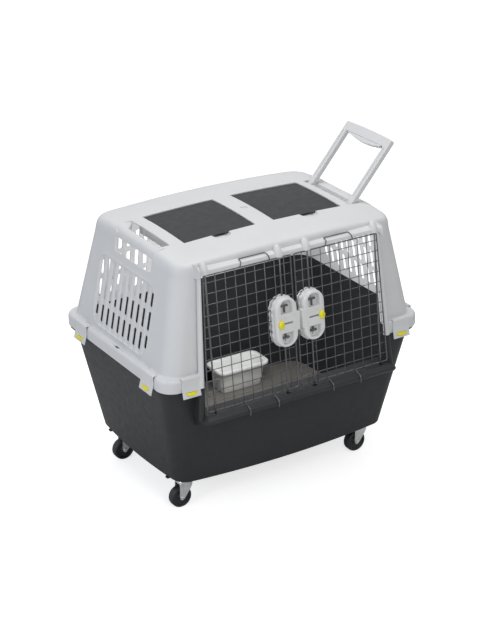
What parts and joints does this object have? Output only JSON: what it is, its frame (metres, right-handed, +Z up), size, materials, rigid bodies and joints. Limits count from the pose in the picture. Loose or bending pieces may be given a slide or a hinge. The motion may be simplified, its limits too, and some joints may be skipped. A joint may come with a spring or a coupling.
{
  "type": "dog travel crate",
  "caption": "Plastic dog travel crate with twin wire doors, latch bolts, rim clips, roof compartments, tow handle, swivel casters and a bowl.",
  "frame": {"origin": "centre of the bounding box, on the ground under the wheels", "axes": "+Z up, +X towards the tow handle, the doors face -Y"},
  "size_m": [0.8336, 0.6162, 0.8878],
  "materials": {
    "light_grey": "fine matt",
    "latch_grey": "fine matt",
    "dark_grey": "fine matt",
    "lid_grey": "fine matt",
    "floor_grey": "matt",
    "yellow": "smooth",
    "black": "smooth",
    "white": "smooth",
    "wire": "dark coated steel",
    "zinc": "zinc plated"
  },
  "bodies": {
    "crate": {"lower_shell": "dark_grey", "upper_shell": "light_grey", "floor_panel": "floor_grey", "tow_handle_pin": "zinc", "front_left_caster_plate": "black", "front_right_caster_plate": "black", "rear_left_caster_plate": "black", "rear_right_caster_plate": "black"},
    "left_door": {"left_door_grille": "wire", "left_latch_housing": "latch_grey", "left_latch_back_plate": "latch_grey"},
    "left_latch_slider": {"left_latch_knob": "yellow"},
    "left_upper_bolt_body": {"left_upper_bolt": "wire"},
    "left_lower_bolt_body": {"left_lower_bolt": "wire"},
    "right_door": {"right_door_grille": "wire", "right_latch_housing": "latch_grey", "right_latch_back_plate": "latch_grey"},
    "right_latch_slider": {"right_latch_knob": "yellow"},
    "right_upper_bolt_body": {"right_upper_bolt": "wire"},
    "right_lower_bolt_body": {"right_lower_bolt": "wire"},
    "front_left_rim_clip": {"front_left_clip": "light_grey"},
    "front_left_rim_button": {"front_left_button": "yellow"},
    "front_right_rim_clip": {"front_right_clip": "light_grey"},
    "front_right_rim_button": {"front_right_button": "yellow"},
    "rear_left_rim_clip": {"rear_left_clip": "light_grey"},
    "rear_left_rim_button": {"rear_left_button": "yellow"},
    "rear_right_rim_clip": {"rear_right_clip": "light_grey"},
    "rear_right_rim_button": {"rear_right_button": "yellow"},
    "left_front_rim_clip": {"left_front_clip": "light_grey"},
    "left_front_rim_button": {"left_front_button": "yellow"},
    "left_rear_rim_clip": {"left_rear_clip": "light_grey"},
    "left_rear_rim_button": {"left_rear_button": "yellow"},
    "right_front_rim_clip": {"right_front_clip": "light_grey"},
    "right_front_rim_button": {"right_front_button": "yellow"},
    "right_rear_rim_clip": {"right_rear_clip": "light_grey"},
    "right_rear_rim_button": {"right_rear_button": "yellow"},
    "left_lid": {"left_roof_lid": "lid_grey"},
    "right_lid": {"right_roof_lid": "lid_grey"},
    "tow_handle": {"tow_handle_frame": "light_grey", "tow_handle_grip": "light_grey"},
    "front_left_swivel": {"front_left_caster_fork": "zinc", "front_left_caster_axle": "zinc"},
    "front_left_wheel": {"front_left_caster_wheel": "black"},
    "front_right_swivel": {"front_right_caster_fork": "zinc", "front_right_caster_axle": "zinc"},
    "front_right_wheel": {"front_right_caster_wheel": "black"},
    "rear_left_swivel": {"rear_left_caster_fork": "zinc", "rear_left_caster_axle": "zinc"},
    "rear_left_wheel": {"rear_left_caster_wheel": "black"},
    "rear_right_swivel": {"rear_right_caster_fork": "zinc", "rear_right_caster_axle": "zinc"},
    "rear_right_wheel": {"rear_right_caster_wheel": "black"},
    "bowl": {"food_bowl": "white"}
  },
  "joints": [
    {"name": "left_door_hinge", "type": "hinge", "parent": "crate", "child": "left_door", "pos_m": [-0.2685, -0.2524, 0.51558], "axis": [0, 0.1253, 0.9921], "range_deg": [-110, 0]},
    {"name": "left_latch_slide", "type": "slide", "parent": "left_door", "child": "left_latch_slider", "axis": [1, 0, 0], "range_m": [0, 0.02]},
    {"name": "left_upper_bolt_slide", "type": "slide", "parent": "left_door", "child": "left_upper_bolt_body", "axis": [0, 0.1253, 0.9921], "range_m": [0, 0.01]},
    {"name": "left_lower_bolt_slide", "type": "slide", "parent": "left_door", "child": "left_lower_bolt_body", "axis": [0, -0.1253, -0.9921], "range_m": [0, 0.01]},
    {"name": "right_door_hinge", "type": "hinge", "parent": "crate", "child": "right_door", "pos_m": [0.2535, -0.2524, 0.51558], "axis": [0, 0.1253, 0.9921], "range_deg": [0, 110]},
    {"name": "right_latch_slide", "type": "slide", "parent": "right_door", "child": "right_latch_slider", "axis": [-1, 0, 0], "range_m": [0, 0.02]},
    {"name": "right_upper_bolt_slide", "type": "slide", "parent": "right_door", "child": "right_upper_bolt_body", "axis": [0, 0.1253, 0.9921], "range_m": [0, 0.01]},
    {"name": "right_lower_bolt_slide", "type": "slide", "parent": "right_door", "child": "right_lower_bolt_body", "axis": [0, -0.1253, -0.9921], "range_m": [0, 0.01]},
    {"name": "front_left_clip_hinge", "type": "hinge", "parent": "crate", "child": "front_left_rim_clip", "pos_m": [-0.331, -0.24725, 0.4421], "axis": [-1, 0, 0], "range_deg": [0, 75]},
    {"name": "front_left_button_press", "type": "slide", "parent": "front_left_rim_clip", "child": "front_left_rim_button", "axis": [0, 0.9683, -0.2499], "range_m": [0, 0.0015], "stiffness_N_per_m": 300, "springref_m": -0.001},
    {"name": "front_right_clip_hinge", "type": "hinge", "parent": "crate", "child": "front_right_rim_clip", "pos_m": [0.331, -0.24725, 0.4421], "axis": [-1, 0, 0], "range_deg": [0, 75]},
    {"name": "front_right_button_press", "type": "slide", "parent": "front_right_rim_clip", "child": "front_right_rim_button", "axis": [0, 0.9683, -0.2499], "range_m": [0, 0.0015], "stiffness_N_per_m": 300, "springref_m": -0.001},
    {"name": "rear_left_clip_hinge", "type": "hinge", "parent": "crate", "child": "rear_left_rim_clip", "pos_m": [-0.2, 0.28775, 0.4421], "axis": [1, 0, 0], "range_deg": [0, 75]},
    {"name": "rear_left_button_press", "type": "slide", "parent": "rear_left_rim_clip", "child": "rear_left_rim_button", "axis": [0, -0.9683, -0.2499], "range_m": [0, 0.0015], "stiffness_N_per_m": 300, "springref_m": -0.001},
    {"name": "rear_right_clip_hinge", "type": "hinge", "parent": "crate", "child": "rear_right_rim_clip", "pos_m": [0.2, 0.28775, 0.4421], "axis": [1, 0, 0], "range_deg": [0, 75]},
    {"name": "rear_right_button_press", "type": "slide", "parent": "rear_right_rim_clip", "child": "rear_right_rim_button", "axis": [0, -0.9683, -0.2499], "range_m": [0, 0.0015], "stiffness_N_per_m": 300, "springref_m": -0.001},
    {"name": "left_front_clip_hinge", "type": "hinge", "parent": "crate", "child": "left_front_rim_clip", "pos_m": [-0.3965, -0.17225, 0.4421], "axis": [0, 1, 0], "range_deg": [0, 75]},
    {"name": "left_front_button_press", "type": "slide", "parent": "left_front_rim_clip", "child": "left_front_rim_button", "axis": [0.9683, 0, -0.2499], "range_m": [0, 0.0015], "stiffness_N_per_m": 300, "springref_m": -0.001},
    {"name": "left_rear_clip_hinge", "type": "hinge", "parent": "crate", "child": "left_rear_rim_clip", "pos_m": [-0.3965, 0.18375, 0.4421], "axis": [0, 1, 0], "range_deg": [0, 75]},
    {"name": "left_rear_button_press", "type": "slide", "parent": "left_rear_rim_clip", "child": "left_rear_rim_button", "axis": [0.9683, 0, -0.2499], "range_m": [0, 0.0015], "stiffness_N_per_m": 300, "springref_m": -0.001},
    {"name": "right_front_clip_hinge", "type": "hinge", "parent": "crate", "child": "right_front_rim_clip", "pos_m": [0.3965, -0.17225, 0.4421], "axis": [0, -1, 0], "range_deg": [0, 75]},
    {"name": "right_front_button_press", "type": "slide", "parent": "right_front_rim_clip", "child": "right_front_rim_button", "axis": [-0.9683, 0, -0.2499], "range_m": [0, 0.0015], "stiffness_N_per_m": 300, "springref_m": -0.001},
    {"name": "right_rear_clip_hinge", "type": "hinge", "parent": "crate", "child": "right_rear_rim_clip", "pos_m": [0.3965, 0.18375, 0.4421], "axis": [0, -1, 0], "range_deg": [0, 75]},
    {"name": "right_rear_button_press", "type": "slide", "parent": "right_rear_rim_clip", "child": "right_rear_rim_button", "axis": [-0.9683, 0, -0.2499], "range_m": [0, 0.0015], "stiffness_N_per_m": 300, "springref_m": -0.001},
    {"name": "left_lid_hinge", "type": "hinge", "parent": "crate", "child": "left_lid", "pos_m": [-0.14325, 0.11225, 0.7403], "axis": [-1, 0, 0], "range_deg": [0, 95]},
    {"name": "right_lid_hinge", "type": "hinge", "parent": "crate", "child": "right_lid", "pos_m": [0.12825, 0.11225, 0.7403], "axis": [-1, 0, 0], "range_deg": [0, 95]},
    {"name": "tow_handle_hinge", "type": "hinge", "parent": "crate", "child": "tow_handle", "pos_m": [0.276, 0.00575, 0.724], "axis": [0, 1, 0], "range_deg": [-68, 0]},
    {"name": "front_left_swivel_turn", "type": "hinge", "parent": "crate", "child": "front_left_swivel", "pos_m": [-0.287, -0.13575, 0.0967], "axis": [0, 0, 1], "continuous": true},
    {"name": "front_left_wheel_spin", "type": "hinge", "parent": "front_left_swivel", "child": "front_left_wheel", "pos_m": [-0.297, -0.13575, 0.0305], "axis": [0, 1, 0], "continuous": true},
    {"name": "front_right_swivel_turn", "type": "hinge", "parent": "crate", "child": "front_right_swivel", "pos_m": [0.287, -0.13575, 0.0967], "axis": [0, 0, 1], "continuous": true},
    {"name": "front_right_wheel_spin", "type": "hinge", "parent": "front_right_swivel", "child": "front_right_wheel", "pos_m": [0.277, -0.13575, 0.0305], "axis": [0, 1, 0], "continuous": true},
    {"name": "rear_left_swivel_turn", "type": "hinge", "parent": "crate", "child": "rear_left_swivel", "pos_m": [-0.287, 0.17625, 0.0967], "axis": [0, 0, 1], "continuous": true},
    {"name": "rear_left_wheel_spin", "type": "hinge", "parent": "rear_left_swivel", "child": "rear_left_wheel", "pos_m": [-0.297, 0.17625, 0.0305], "axis": [0, 1, 0], "continuous": true},
    {"name": "rear_right_swivel_turn", "type": "hinge", "parent": "crate", "child": "rear_right_swivel", "pos_m": [0.287, 0.17625, 0.0967], "axis": [0, 0, 1], "continuous": true},
    {"name": "rear_right_wheel_spin", "type": "hinge", "parent": "rear_right_swivel", "child": "rear_right_wheel", "pos_m": [0.277, 0.17625, 0.0305], "axis": [0, 1, 0], "continuous": true},
    {"name": "bowl_lift", "type": "slide", "parent": "crate", "child": "bowl", "axis": [0, 0, 1], "range_m": [0, 0.1]}
  ],
  "couplings": [
    {"joint": "left_upper_bolt_slide", "follows": "left_latch_slide", "ratio": 0.5},
    {"joint": "left_lower_bolt_slide", "follows": "left_latch_slide", "ratio": 0.5},
    {"joint": "right_upper_bolt_slide", "follows": "right_latch_slide", "ratio": 0.5},
    {"joint": "right_lower_bolt_slide", "follows": "right_latch_slide", "ratio": 0.5}
  ]
}
